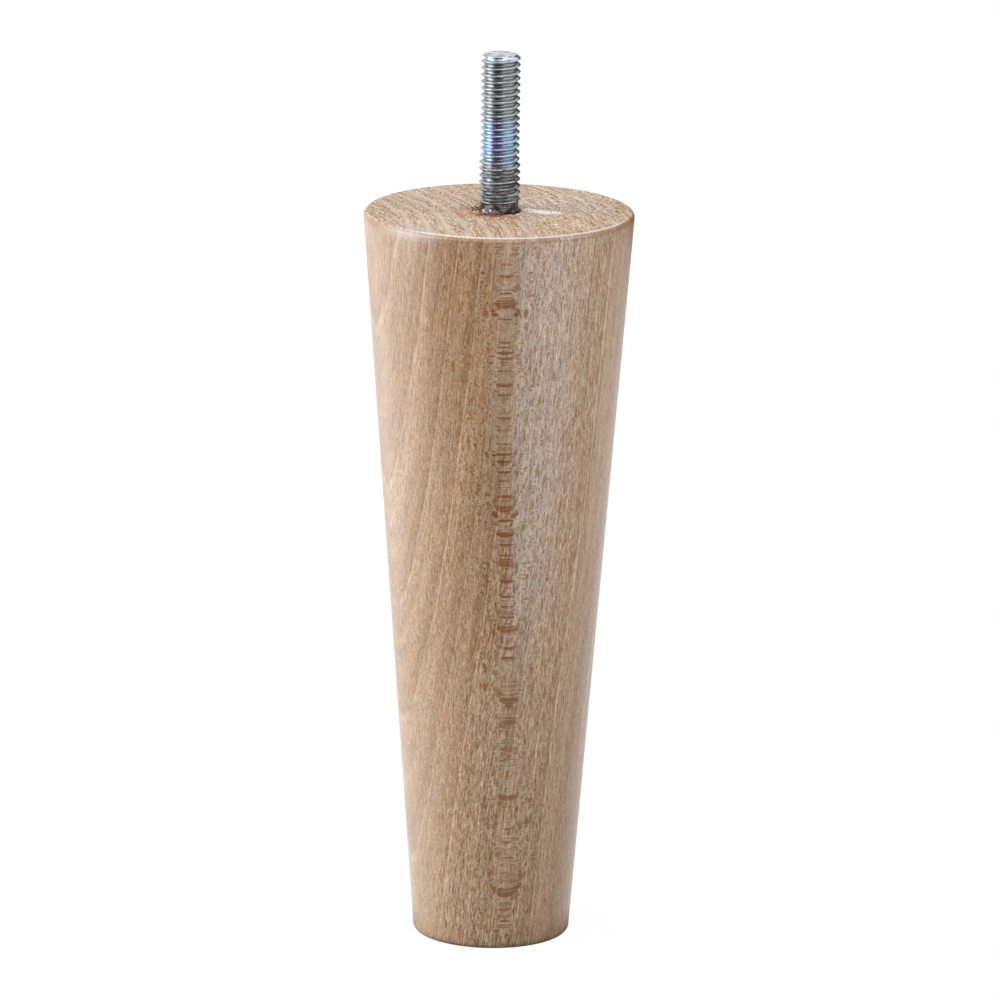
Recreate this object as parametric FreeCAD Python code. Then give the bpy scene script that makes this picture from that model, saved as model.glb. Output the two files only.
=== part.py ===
import FreeCAD
import Part
import math
import os

# Tapered round furniture leg. The leg is turned from one piece of beech, and a steel
# hanger bolt is driven into the middle of its top. The bolt's upper end carries a
# machine thread that screws into the furniture, and its lower end is a wood thread.
# Millimetres, +Z up, origin at the centre of the foot's flat face. The solids carry
# both threads at their crest diameters.

# Turned leg: the diameters are those of the cone's ends, before the edges are rounded
LEG_HEIGHT = 137.5
TOP_DIAMETER = 50.0
FOOT_DIAMETER = 29.0
TOP_EDGE_RADIUS = 1.0
FOOT_EDGE_RADIUS = 1.0

# Machine end of the hanger bolt, M8
STUD_DIAMETER = 7.8
STUD_PROJECTION = 29.0
STUD_END_CHAMFER = 0.8

# Plain shank between the two threads, as thick as the blank that both are rolled on
SHANK_DIAMETER = 7.2
SHANK_ABOVE_WOOD = 1.6
SHANK_IN_WOOD = 4.0
THREAD_RUN_OUT = 0.4

# Wood end of the hanger bolt
WOOD_THREAD_DIAMETER = 7.6
WOOD_THREAD_LENGTH = 31.0
POINT_LENGTH = 6.0
POINT_TIP_DIAMETER = 1.6

# Blind hole that the wood end sits in
HOLE_CLEARANCE = 0.05
HOLE_BEYOND_POINT = 1.0
HOLE_MOUTH_CHAMFER = 0.6
DRILL_POINT_ANGLE = 118.0

AXIS_POINT = FreeCAD.Vector(0, 0, 0)
AXIS = FreeCAD.Vector(0, 0, 1)


def turned(outline):
    """Solid turned about the leg's axis, from (radius, height) points that start and end on it."""
    corners = [FreeCAD.Vector(radius, 0, height) for radius, height in outline]
    wire = Part.makePolygon(corners + corners[:1])
    return Part.Face(wire).revolve(AXIS_POINT, AXIS, 360)


def round_edge(solid, height):
    """The round edge that closes a turned solid at a height."""
    for edge in solid.Edges:
        circle = edge.Curve
        if isinstance(circle, Part.Circle) and math.isclose(circle.Center.z, height, abs_tol=1e-6):
            return edge
    raise ValueError(f"no round edge at height {height}")


def bolt_stations():
    """Heights along the bolt, from its point up to its free end."""
    shank_bottom = LEG_HEIGHT - SHANK_IN_WOOD
    wood_thread_bottom = shank_bottom - WOOD_THREAD_LENGTH
    return {
        "tip": wood_thread_bottom - POINT_LENGTH,
        "wood_thread_bottom": wood_thread_bottom,
        "shank_bottom": shank_bottom,
        "shank_top": LEG_HEIGHT + SHANK_ABOVE_WOOD,
        "end": LEG_HEIGHT + STUD_PROJECTION,
    }


def make_leg_body():
    """Turned beech cone with both edges rounded and the bolt's hole in its top."""
    cone = turned([
        (0, 0),
        (FOOT_DIAMETER / 2, 0),
        (TOP_DIAMETER / 2, LEG_HEIGHT),
        (0, LEG_HEIGHT),
    ])
    body = cone.makeFillet(TOP_EDGE_RADIUS, [round_edge(cone, LEG_HEIGHT)])
    body = body.makeFillet(FOOT_EDGE_RADIUS, [round_edge(body, 0)])
    return body.cut(make_bolt_hole())


def make_bolt_hole():
    """Drilled blind hole for the bolt: countersunk mouth, straight wall, cone left by the drill."""
    radius = max(WOOD_THREAD_DIAMETER, SHANK_DIAMETER) / 2 + HOLE_CLEARANCE
    wall_bottom = bolt_stations()["tip"] - HOLE_BEYOND_POINT
    drill_cone = radius / math.tan(math.radians(DRILL_POINT_ANGLE / 2))
    return turned([
        (0, wall_bottom - drill_cone),
        (radius, wall_bottom),
        (radius, LEG_HEIGHT - HOLE_MOUTH_CHAMFER),
        (radius + HOLE_MOUTH_CHAMFER, LEG_HEIGHT),
        (0, LEG_HEIGHT),
    ])


def make_hanger_bolt():
    """Steel bolt: pointed wood end, plain shank, machine end with a chamfer."""
    at = bolt_stations()
    tip_radius = POINT_TIP_DIAMETER / 2
    wood_radius = WOOD_THREAD_DIAMETER / 2
    shank_radius = SHANK_DIAMETER / 2
    stud_radius = STUD_DIAMETER / 2
    return turned([
        (0, at["tip"]),
        (tip_radius, at["tip"]),
        (wood_radius, at["wood_thread_bottom"]),
        (wood_radius, at["shank_bottom"] - THREAD_RUN_OUT),
        (shank_radius, at["shank_bottom"]),
        (shank_radius, at["shank_top"]),
        (stud_radius, at["shank_top"] + THREAD_RUN_OUT),
        (stud_radius, at["end"] - STUD_END_CHAMFER),
        (stud_radius - STUD_END_CHAMFER, at["end"]),
        (0, at["end"]),
    ])


def main():
    os.makedirs("parts", exist_ok=True)
    nodes = {
        "leg_body": make_leg_body(),
        "hanger_bolt": make_hanger_bolt(),
    }
    for name, shape in nodes.items():
        solid = shape.Solids[0]
        solid.exportStep(os.path.join("parts", name + ".step"))
        print(name, "volume", round(solid.Volume, 1), "mm3, valid", solid.isValid())


main()
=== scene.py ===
import math
from types import SimpleNamespace

import bpy
import numpy as np
from mathutils import Matrix, Vector, noise


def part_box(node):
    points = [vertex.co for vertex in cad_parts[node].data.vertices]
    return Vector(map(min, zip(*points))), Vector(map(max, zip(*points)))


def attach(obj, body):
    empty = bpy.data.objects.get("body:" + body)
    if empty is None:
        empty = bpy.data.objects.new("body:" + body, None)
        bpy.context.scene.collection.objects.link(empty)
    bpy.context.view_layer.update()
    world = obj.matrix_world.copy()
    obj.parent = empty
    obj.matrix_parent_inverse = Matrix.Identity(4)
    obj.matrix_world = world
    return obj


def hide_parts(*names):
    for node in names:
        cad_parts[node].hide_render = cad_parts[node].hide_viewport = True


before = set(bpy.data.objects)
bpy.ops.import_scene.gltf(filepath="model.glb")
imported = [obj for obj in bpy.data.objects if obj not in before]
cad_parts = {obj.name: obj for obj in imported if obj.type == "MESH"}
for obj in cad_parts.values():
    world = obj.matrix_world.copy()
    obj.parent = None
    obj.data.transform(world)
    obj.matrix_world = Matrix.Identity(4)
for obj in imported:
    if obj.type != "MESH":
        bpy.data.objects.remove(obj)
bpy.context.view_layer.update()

MM = 0.001

# Turned leg, as in the solids
LEG_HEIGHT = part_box("leg_body")[1].z
TOP_RADIUS = 25.0 * MM
FOOT_RADIUS = 14.5 * MM
EDGE_ROUND = 1.0 * MM
HOLE_RADIUS = 3.85 * MM
HOLE_MOUTH_RADIUS = 4.0 * MM
HOLE_DEPTH = 44.0 * MM
TAPER = math.atan((TOP_RADIUS - FOOT_RADIUS) / LEG_HEIGHT)
TOP_MM = LEG_HEIGHT / MM

# Hanger bolt, as in the solids, with the threads that the solids leave out
BOLT_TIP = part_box("hanger_bolt")[0].z
BOLT_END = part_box("hanger_bolt")[1].z
STUD_RADIUS = 3.62 * MM
STUD_FOOT_RADIUS = 3.78 * MM
STUD_FOOT_TOP = LEG_HEIGHT + 9.8 * MM
STUD_PITCH = 1.25 * MM
STUD_THREAD_START = 0.38 * MM
STUD_THREAD_DEPTH = 0.60 * MM
STUD_CREST, STUD_ROOT = 0.07, 0.24
STUD_RUN_OUT = 0.4 * MM
STUD_END_RADIUS = 3.02 * MM
STUD_END_SLOPE = 1.5
STUD_END_RIM = 0.2 * MM
STUD_END_DENT = 0.05 * MM
SHANK_RADIUS = 3.5 * MM
SHANK_TOP = LEG_HEIGHT + 1.6 * MM
SHANK_BOTTOM = LEG_HEIGHT - 4.0 * MM
WOOD_THREAD_RADIUS = 3.8 * MM
WOOD_THREAD_PITCH = 3.2 * MM
WOOD_THREAD_DEPTH = 0.95 * MM
WOOD_CREST, WOOD_ROOT = 0.06, 0.45
POINT_LENGTH = 6.0 * MM
POINT_TIP_RADIUS = 0.8 * MM

# Cupped end of the stud: radius of each ring, and how deep it lies below the rim, in mm
STUD_END_CUP = ((2.85, -0.02), (2.6, 0.03), (2.2, 0.16), (1.5, 0.30), (0.7, 0.36))

# Residue on the top, in mm, and the angles round the bolt that it lies between
STREAK_START_MM = 4.2
STREAK_LENGTH_MM = 7.1
STREAK_HALF_WIDTH_MM = 1.15
STREAK_BULGE_MM = 0.38
BEAD_FROM, BEAD_TO = math.radians(196), math.radians(278)
BEAD_INNER_RADIUS_MM = 3.46
TORN_FROM, TORN_TO = math.radians(150), math.radians(232)
TORN_INNER_RADIUS_MM = 4.1
TORN_WIDTH_MM = 1.5

# Camera that the photograph was taken with
CAMERA_LENS_MM = 297.94
CAMERA_DISTANCE = 1.5347
CAMERA_ELEVATION = math.radians(13.93)
CAMERA_ROLL = math.radians(0.687)
CAMERA_AIM = Vector((0.00078, 0.0, 0.08259))

# Wood: the pith that the rings centre on, at the foot's height, and the lean and wave of the grain
PITH_MM = (-108.3, -34.8)
GRAIN_LEAN = (0.100, 0.043)
GRAIN_WAVE_MM = 2.4
GRAIN_WAVE_TURN = 0.0571
GRAIN_WAVE_START_MM = 68.0
GRAIN_TWIST = 0.0884
GRAIN_TWIST_WAVE_MM = 2.36
RING_NOMINAL_MM = 108.0
RING_START_MM = 78.25
RING_WIDTH_MM = 4.65

# Rings on the ends: the one that stays straight, where the others start to fan out from it, their width
END_STRAIGHT_RING_MM = 93.9
END_FAN_START_MM = 45.9
END_FAN_PER_MM = 0.0099
END_RING_WIDTH_MM = 3.0
END_RING_SHIFT_MM = 12.1
END_GRIT_PER_M = (2700.0, 800.0, 0.0)

# Strip of the side that faces straight along the rays: where it lies across the front
STRIP_FOOT_X = 2.95 * MM
STRIP_LEAN = 0.0145


# Meshes

LEG_AROUND = 288
BOLT_AROUND = 96


def ring_of(radius, height, around):
    """Ring of points about the leg's axis. The radius and the height may change around it."""
    angle = np.arange(around) * 2 * math.pi / around
    radius, height = np.broadcast_to(radius, around), np.broadcast_to(height, around)
    return np.stack([radius * np.cos(angle), radius * np.sin(angle), height], axis=-1)


def show_mesh(name, points, faces):
    """Smooth mesh through points and faces, as an object in the scene."""
    mesh = bpy.data.meshes.new(name)
    mesh.from_pydata(points, [], faces)
    mesh.shade_smooth()
    piece = bpy.data.objects.new(name, mesh)
    bpy.context.collection.objects.link(piece)
    return piece


def ringed_mesh(name, rings):
    """Closed mesh through rings of points, with a fan over its first and its last ring."""
    rings = np.asarray(rings)
    rows, around, _ = rings.shape
    here = np.arange(rows * around).reshape(rows, around)
    beside = np.roll(here, -1, axis=1)
    quads = np.stack([here[:-1], beside[:-1], beside[1:], here[1:]], axis=-1).reshape(-1, 4)
    first, last = rows * around, rows * around + 1
    fans = [(first, b, a) for a, b in zip(here[0].tolist(), beside[0].tolist())]
    fans += [(last, a, b) for a, b in zip(here[-1].tolist(), beside[-1].tolist())]
    points = np.vstack([rings.reshape(-1, 3), rings[0].mean(axis=0), rings[-1].mean(axis=0)])
    return show_mesh(name, points.tolist(), quads.tolist() + fans)


def uneven(angles, seed, detail):
    """Smooth random value from -1 to 1 at each angle, the same after a whole turn."""
    places = [Vector((detail * math.cos(a), detail * math.sin(a), seed)) for a in angles]
    return np.array([noise.fractal(place, 0.8, 2.0, 4) for place in places])


def smooth(x):
    """Smooth step from 0 to 1."""
    x = np.clip(x, 0, 1)
    return x * x * (3 - 2 * x)


# Turned leg

def round_over(centre_radius, centre_height, start, end, steps=10):
    """Radius and height of points on a rounded edge, between two directions given in radians."""
    turns = np.linspace(start, end, steps)
    radii = centre_radius + EDGE_ROUND * np.cos(turns)
    heights = centre_height + EDGE_ROUND * np.sin(turns)
    return list(zip(radii.tolist(), heights.tolist()))


def leg_outline():
    """Radius and height along the leg's outside, from the middle of the foot to the flat top."""
    foot_reach = EDGE_ROUND * math.tan(math.pi / 4 - TAPER / 2)
    top_reach = EDGE_ROUND * math.tan(math.pi / 4 + TAPER / 2)
    foot = round_over(FOOT_RADIUS - foot_reach, EDGE_ROUND, -math.pi / 2, -TAPER)
    top = round_over(TOP_RADIUS - top_reach, LEG_HEIGHT - EDGE_ROUND, -TAPER, math.pi / 2)
    (r0, z0), (r1, z1) = foot[-1], top[0]
    side = [(r0 + (r1 - r0) * s, z0 + (z1 - z0) * s) for s in np.linspace(0, 1, 30)[1:-1]]
    flat_foot = [(r, 0.0) for r in (4 * MM, 9 * MM, foot[0][0] - 0.3 * MM)]
    flat_top = [(r, LEG_HEIGHT) for r in (top[-1][0] - 0.3 * MM, 20 * MM, 14 * MM, 9 * MM, 7 * MM)]
    return flat_foot + foot + side + top + flat_top


def torn_hole():
    """Rings of the bolt's hole, whose mouth is torn where the bolt was driven in, most of all at the left."""
    angles = np.arange(LEG_AROUND) * 2 * math.pi / LEG_AROUND
    leftward = np.clip(-np.cos(angles + 0.3), 0, 1)
    torn = np.clip(uneven(angles, 3.1, 3.0) * 0.8 + 0.1 + 0.7 * leftward, 0, 1.2) * 0.8 * MM
    mouth = HOLE_MOUTH_RADIUS + torn
    bottom = LEG_HEIGHT - HOLE_DEPTH
    profile = (
        (mouth + 0.35 * MM, LEG_HEIGHT),
        (mouth, LEG_HEIGHT - 0.05 * MM),
        ((mouth + HOLE_RADIUS) / 2, LEG_HEIGHT - 0.3 * MM - torn * 0.3),
        (HOLE_RADIUS, LEG_HEIGHT - 0.7 * MM),
        (HOLE_RADIUS, bottom),
        (HOLE_RADIUS * 0.1, bottom - 2.0 * MM),
    )
    return [ring_of(radius, height, LEG_AROUND) for radius, height in profile]


def make_leg():
    """Turned leg with the bolt's hole."""
    rings = [ring_of(radius, height, LEG_AROUND) for radius, height in leg_outline()]
    piece = ringed_mesh("turned_leg", rings + torn_hole())
    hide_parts("leg_body")
    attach(piece, "root")
    return piece


# Hanger bolt

def thread_groove(turns, crest, root):
    """Depth of a thread's groove, 0 on the crest and 1 in the root, at a number of turns."""
    off = np.abs((turns % 1.0) - 0.5) * 2
    return np.clip((off - crest) / (1 - crest - root), 0, 1)


def stud_radius(angles, z):
    """Radius of the machine thread at a height, for every angle: run-out, thicker foot and chamfered end."""
    rise = smooth((z - SHANK_TOP) / STUD_RUN_OUT)
    turns = (z - STUD_THREAD_START) / STUD_PITCH - angles / (2 * math.pi)
    thicker = smooth((STUD_FOOT_TOP - z) / (0.8 * MM))
    full = STUD_RADIUS + (STUD_FOOT_RADIUS - STUD_RADIUS) * thicker
    crest = SHANK_RADIUS + (full - SHANK_RADIUS) * rise
    chamfer = STUD_END_RADIUS + (BOLT_END + STUD_END_RIM - z) * STUD_END_SLOPE
    groove = thread_groove(turns, STUD_CREST, STUD_ROOT)
    return np.minimum(crest - STUD_THREAD_DEPTH * rise * groove, chamfer)


def wood_thread_radius(angles, z):
    """Radius of the wood thread and its point at a height, for every angle."""
    taper = np.clip((z - BOLT_TIP) / POINT_LENGTH, 0, 1)
    crest = POINT_TIP_RADIUS + (WOOD_THREAD_RADIUS - POINT_TIP_RADIUS) * taper
    run_in = smooth((SHANK_BOTTOM - z) / (2.0 * MM)) * (0.3 + 0.7 * taper)
    groove = thread_groove(z / WOOD_THREAD_PITCH - angles / (2 * math.pi), WOOD_CREST, WOOD_ROOT)
    return crest - WOOD_THREAD_DEPTH * run_in * groove


def bolt_radius(angles, z):
    """Bolt's radius at a height, for every angle."""
    if z >= SHANK_TOP:
        return stud_radius(angles, z)
    if z >= SHANK_BOTTOM:
        return np.full_like(angles, SHANK_RADIUS)
    return wood_thread_radius(angles, z)


def make_bolt():
    """Hanger bolt with both of its threads cut, and a cupped and dented end."""
    angles = np.arange(BOLT_AROUND) * 2 * math.pi / BOLT_AROUND
    rim = BOLT_END + STUD_END_RIM
    hidden = np.linspace(BOLT_TIP, SHANK_BOTTOM, 200)
    shank = np.linspace(SHANK_BOTTOM, SHANK_TOP, 12)[1:]
    shown = np.linspace(SHANK_TOP, rim, 460)[1:]
    heights = np.concatenate([hidden, shank, shown])
    rings = [ring_of(bolt_radius(angles, z), z, BOLT_AROUND) for z in heights]
    dent = STUD_END_DENT * uneven(angles, 7.7, 2.0)
    rings += [ring_of(radius * MM, rim - sink * MM + dent, BOLT_AROUND) for radius, sink in STUD_END_CUP]
    piece = ringed_mesh("threaded_hanger_bolt", rings)
    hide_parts("hanger_bolt")
    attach(piece, "root")
    return piece


# Residue round the bolt

def lump_mesh(name, points, rows, columns):
    """Open sheet through a grid of points, for residue that lies on the wood."""
    here = np.arange(rows * columns).reshape(rows, columns)
    quads = np.stack([here[:-1, :-1], here[1:, :-1], here[1:, 1:], here[:-1, 1:]], axis=-1).reshape(-1, 4)
    piece = show_mesh(name, np.asarray(points).reshape(-1, 3).tolist(), quads.tolist())
    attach(piece, "root")
    return piece


def make_glue_streak():
    """Thin streak of dried white glue that runs out to the right from the bolt's hole."""
    rows, columns = 90, 13
    points = []
    for along in np.linspace(0, 1, rows):
        x = STREAK_START_MM + STREAK_LENGTH_MM * along
        middle = -0.3 - 2.4 * along + 0.25 * noise.noise(Vector((x * 0.9, 1.7, 0)))
        ends = min(1, 8 * along + 0.1, 5 * (1 - along) + 0.05)
        half = (STREAK_HALF_WIDTH_MM + 0.7 * noise.noise(Vector((x * 1.3, 5.2, 0)))) * ends
        for side in np.linspace(-1, 1, columns):
            lump = 0.25 * noise.noise(Vector((x * 2.6, side * 1.5, 9)))
            bulge = (1 - side * side) * (STREAK_BULGE_MM + lump)
            points.append((x * MM, (middle + half * side) * MM, LEG_HEIGHT + (bulge - 0.02) * MM))
    return lump_mesh("glue_streak", points, rows, columns)


def make_glue_bead():
    """Lumpy bead of hardened glue that squeezed out round the bolt, at the left and the front."""
    rows, columns = 120, 15
    points = []
    for turn in np.linspace(BEAD_FROM, BEAD_TO, rows):
        at = Vector((math.cos(turn), math.sin(turn), 0))
        ends = min(1, (turn - BEAD_FROM) * 3 + 0.02, (BEAD_TO - turn) * 3 + 0.02)
        swell = 0.55 + 0.3 * noise.noise(at * 2.5 + Vector((4.1, 0, 0))) + 0.1 * noise.noise(at * 8.0)
        swell = max(swell, 0.15) * ends
        for up in np.linspace(0, math.pi / 2, columns):
            lump = 0.10 * noise.noise(Vector((at.x * 7, at.y * 7, up * 2.5)))
            radius = BEAD_INNER_RADIUS_MM + (0.9 * swell + lump) * math.cos(up)
            height = (1.5 * swell + lump) * math.sin(up) - 0.06
            points.append((at.x * radius * MM, at.y * radius * MM, LEG_HEIGHT + height * MM))
    return lump_mesh("glue_bead", points, rows, columns)


def make_torn_rim():
    """Rim of torn fibres and glue crumbs that the driven bolt pushed up at the left of its hole."""
    rows, columns = 150, 17
    points = []
    for turn in np.linspace(TORN_FROM, TORN_TO, rows):
        at = Vector((math.cos(turn), math.sin(turn), 0))
        fade = min(1, (turn - TORN_FROM) * 4, (TORN_TO - turn) * 4)
        width = (TORN_WIDTH_MM + 0.7 * noise.noise(at * 3.0 + Vector((0, 2.2, 0)))) * fade + 0.05
        for across in np.linspace(0, 1, columns):
            crumb = noise.fractal(Vector((at.x * 11, at.y * 11, across * 2.6)), 0.7, 2.0, 3)
            rise = math.sin(math.pi * across) * (0.32 + 0.30 * crumb) * fade
            radius = TORN_INNER_RADIUS_MM + width * across
            points.append((at.x * radius * MM, at.y * radius * MM, LEG_HEIGHT + (rise - 0.03) * MM))
    return lump_mesh("torn_hole_rim", points, rows, columns)


# Node helpers

def srgb(red, green, blue):
    """Colour written as 0 to 255 on a screen, as the linear colour that a shader takes."""
    def linear(level):
        level /= 255
        return level / 12.92 if level <= 0.04045 else ((level + 0.055) / 1.055) ** 2.4
    return (linear(red), linear(green), linear(blue), 1.0)


def new_material(name):
    """Node material; returns it with its tree and its shader."""
    material = bpy.data.materials.new(name)
    material.use_nodes = True
    return material, material.node_tree, material.node_tree.nodes.get("Principled BSDF")


def feed(tree, value, socket):
    """Gives a socket its value, which may be another node's output."""
    if isinstance(value, bpy.types.NodeSocket):
        tree.links.new(value, socket)
    else:
        socket.default_value = value


def put(tree, kind, inputs=None, **settings):
    """Adds a shader node. Its inputs are given by name or by place, as values or as other nodes' outputs."""
    made = tree.nodes.new("ShaderNode" + kind)
    for key, value in settings.items():
        setattr(made, key, value)
    for socket, value in (inputs or {}).items():
        feed(tree, value, made.inputs[socket])
    return made


def calc(tree, operation, *operands):
    """Adds one step of arithmetic and returns its result."""
    return put(tree, "Math", dict(enumerate(operands)), operation=operation).outputs[0]


def product(tree, first, *others):
    """Multiplies values one after another."""
    for other in others:
        first = calc(tree, "MULTIPLY", first, other)
    return first


def scaled(tree, value, factor, offset):
    """A value times a factor, plus an offset."""
    return calc(tree, "MULTIPLY_ADD", value, factor, offset)


def step(tree, value, low, high):
    """Smooth step of a value from 0 at low to 1 at high; low may be the larger."""
    inputs = {"Value": value, "From Min": low, "From Max": high}
    return put(tree, "MapRange", inputs, interpolation_type="SMOOTHSTEP").outputs[0]


def band(tree, value, rise, fall):
    """1 between a rise and a fall, each given as the value where it is 0 and the value where it is 1."""
    return product(tree, step(tree, value, *rise), step(tree, value, *fall))


def blend(tree, share, base, over, way="MIX"):
    """Lays one colour over another."""
    made = put(tree, "Mix", data_type="RGBA", blend_type=way)
    for socket, value in ((made.inputs[0], share), (made.inputs[6], base), (made.inputs[7], over)):
        feed(tree, value, socket)
    return made.outputs[2]


def vector(tree, x, y, z):
    """Joins three values."""
    return put(tree, "CombineXYZ", {0: x, 1: y, 2: z}).outputs[0]


def length(tree, place):
    """Length of a vector."""
    return put(tree, "VectorMath", {0: place}, operation="LENGTH").outputs[1]


def cloud(tree, place, scale, detail=2.0, roughness=0.5):
    """Noise from 0 to 1 at a place."""
    inputs = {"Vector": place, "Scale": scale, "Detail": detail, "Roughness": roughness}
    return put(tree, "TexNoise", inputs).outputs[0]


def spot(tree, place, middle_mm, half_sizes_mm):
    """Soft spot that is 1 in its middle and fades out at its half sizes, both given in mm."""
    middle, half_sizes = ([size * MM for size in sizes] for sizes in (middle_mm, half_sizes_mm))
    off = put(tree, "VectorMath", {0: place, 1: middle}, operation="SUBTRACT").outputs[0]
    off = put(tree, "VectorMath", {0: off, 1: half_sizes}, operation="DIVIDE").outputs[0]
    return step(tree, length(tree, off), 1.0, 0.2)


def raise_skin(tree, shader, height, strength, distance):
    """Fine relief of a surface."""
    bump = put(tree, "Bump", {"Height": height, "Strength": strength, "Distance": distance})
    tree.links.new(bump.outputs[0], shader.inputs["Normal"])


def new_group(name, inputs, outputs):
    """Shader node group with named sockets: its tree, its inputs by name and its output node's inputs."""
    tree = bpy.data.node_groups.new(name, "ShaderNodeTree")
    for label in inputs:
        kind = "NodeSocketVector" if label == "Place" else "NodeSocketFloat"
        tree.interface.new_socket(name=label, in_out="INPUT", socket_type=kind)
    for label in outputs:
        tree.interface.new_socket(name=label, in_out="OUTPUT", socket_type="NodeSocketFloat")
    entry = tree.nodes.new("NodeGroupInput")
    exit_node = tree.nodes.new("NodeGroupOutput")
    return tree, entry.outputs, exit_node.inputs


def place_group(tree, group, **inputs):
    """Puts a node group into a material, with its inputs given by name."""
    made = tree.nodes.new("ShaderNodeGroup")
    made.node_tree = group
    for label, value in inputs.items():
        feed(tree, value, made.inputs[label.replace("_", " ")])
    return made.outputs


# Wood: node groups

def grain_group():
    """Where a point lies in the tree: distance from the pith, length along the ring and height, in mm."""
    tree, given, out = new_group("beech_grain_place", ["Place"], ["Ring Radius", "Along Ring", "Height"])
    in_mm = put(tree, "VectorMath", {0: given["Place"], "Scale": 1000.0}, operation="SCALE").outputs[0]
    axes = put(tree, "SeparateXYZ", {0: in_mm}).outputs
    phase = scaled(tree, axes[2], GRAIN_WAVE_TURN, -GRAIN_WAVE_START_MM * GRAIN_WAVE_TURN)
    swing = calc(tree, "SINE", phase)
    lean_east = scaled(tree, axes[2], GRAIN_LEAN[0], PITH_MM[0])
    lean_north = scaled(tree, axes[2], GRAIN_LEAN[1], PITH_MM[1])
    lean_north = scaled(tree, swing, GRAIN_WAVE_MM, lean_north)
    east = calc(tree, "SUBTRACT", axes[0], lean_east)
    north = calc(tree, "SUBTRACT", axes[1], lean_north)
    turn = calc(tree, "ARCTAN2", north, east)
    twist = product(tree, swing, GRAIN_TWIST_WAVE_MM)
    twist = scaled(tree, axes[2], GRAIN_TWIST, twist)
    tree.links.new(length(tree, vector(tree, east, north, 0.0)), out["Ring Radius"])
    tree.links.new(scaled(tree, turn, RING_NOMINAL_MM, twist), out["Along Ring"])
    tree.links.new(axes[2], out["Height"])
    return tree


def strip_along_ring(height):
    """Length along the ring where the side faces straight along the rays, at a height in mm."""
    swing = math.sin((height - GRAIN_WAVE_START_MM) * GRAIN_WAVE_TURN)
    pith_x = PITH_MM[0] + GRAIN_LEAN[0] * height
    pith_y = PITH_MM[1] + GRAIN_LEAN[1] * height + GRAIN_WAVE_MM * swing
    radius = (FOOT_RADIUS + (TOP_RADIUS - FOOT_RADIUS) * height * MM / LEG_HEIGHT) / MM
    turn = math.atan2(-pith_y, -pith_x) - math.asin(radius / math.hypot(pith_x, pith_y))
    return RING_NOMINAL_MM * turn + GRAIN_TWIST * height + GRAIN_TWIST_WAVE_MM * swing


def lens_depth(tree, aside, above, half_width, half_height):
    """How far out a point lies in an upright lens: 0 in its middle and 1 at its edge."""
    aside = calc(tree, "DIVIDE", calc(tree, "ABSOLUTE", aside), half_width)
    above = calc(tree, "DIVIDE", above, half_height)
    return scaled(tree, above, above, aside)


def scattered_rays_group():
    """Medullary rays cut by the surface: thin upright lenses, scattered, each in a paler surround."""
    inputs = ["Along Ring", "Height", "Cell Width", "Cell Height", "Half Width", "Half Height", "Share"]
    tree, given, out = new_group("beech_scattered_rays", inputs, ["Ray", "Surround"])
    across = calc(tree, "DIVIDE", given["Along Ring"], given["Cell Width"])
    up = calc(tree, "DIVIDE", given["Height"], given["Cell Height"])
    sheet = {"Vector": vector(tree, across, up, 0.0), "Scale": 1.0}
    cells = put(tree, "TexVoronoi", sheet, voronoi_dimensions="2D")
    centre = put(tree, "SeparateXYZ", {0: cells.outputs["Position"]}).outputs
    chance = put(tree, "SeparateColor", {0: cells.outputs["Color"]}).outputs
    size = scaled(tree, chance[0], 0.8, 0.6)
    aside = product(tree, calc(tree, "SUBTRACT", across, centre[0]), given["Cell Width"])
    above = product(tree, calc(tree, "SUBTRACT", up, centre[1]), given["Cell Height"])
    half_width = product(tree, given["Half Width"], size)
    half_height = product(tree, given["Half Height"], size)
    lens = lens_depth(tree, aside, above, half_width, half_height)
    kept = calc(tree, "LESS_THAN", chance[1], given["Share"])
    strength = product(tree, kept, scaled(tree, chance[2], 0.4, 0.6))
    tree.links.new(product(tree, step(tree, lens, 1.1, 0.75), strength), out["Ray"])
    tree.links.new(product(tree, step(tree, lens, 2.4, 1.3), kept), out["Surround"])
    return tree


def single_ray_group():
    """One broad medullary ray, sloped along the ring; a hollow one is dark at its edge alone."""
    inputs = ["Along Ring", "Height", "Middle Along", "Middle Height", "Half Width", "Half Height"]
    tree, given, out = new_group("beech_single_ray", inputs + ["Hollow", "Slope"], ["Ray"])
    aside = calc(tree, "SUBTRACT", given["Along Ring"], given["Middle Along"])
    above = calc(tree, "SUBTRACT", given["Height"], given["Middle Height"])
    above = calc(tree, "SUBTRACT", above, product(tree, aside, given["Slope"]))
    lens = lens_depth(tree, aside, above, given["Half Width"], given["Half Height"])
    pale = product(tree, given["Hollow"], step(tree, lens, 0.85, 0.6))
    ray = product(tree, step(tree, lens, 1.12, 0.85), calc(tree, "SUBTRACT", 1.0, pale))
    tree.links.new(ray, out["Ray"])
    return tree


# Wood: colours and marks

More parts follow.
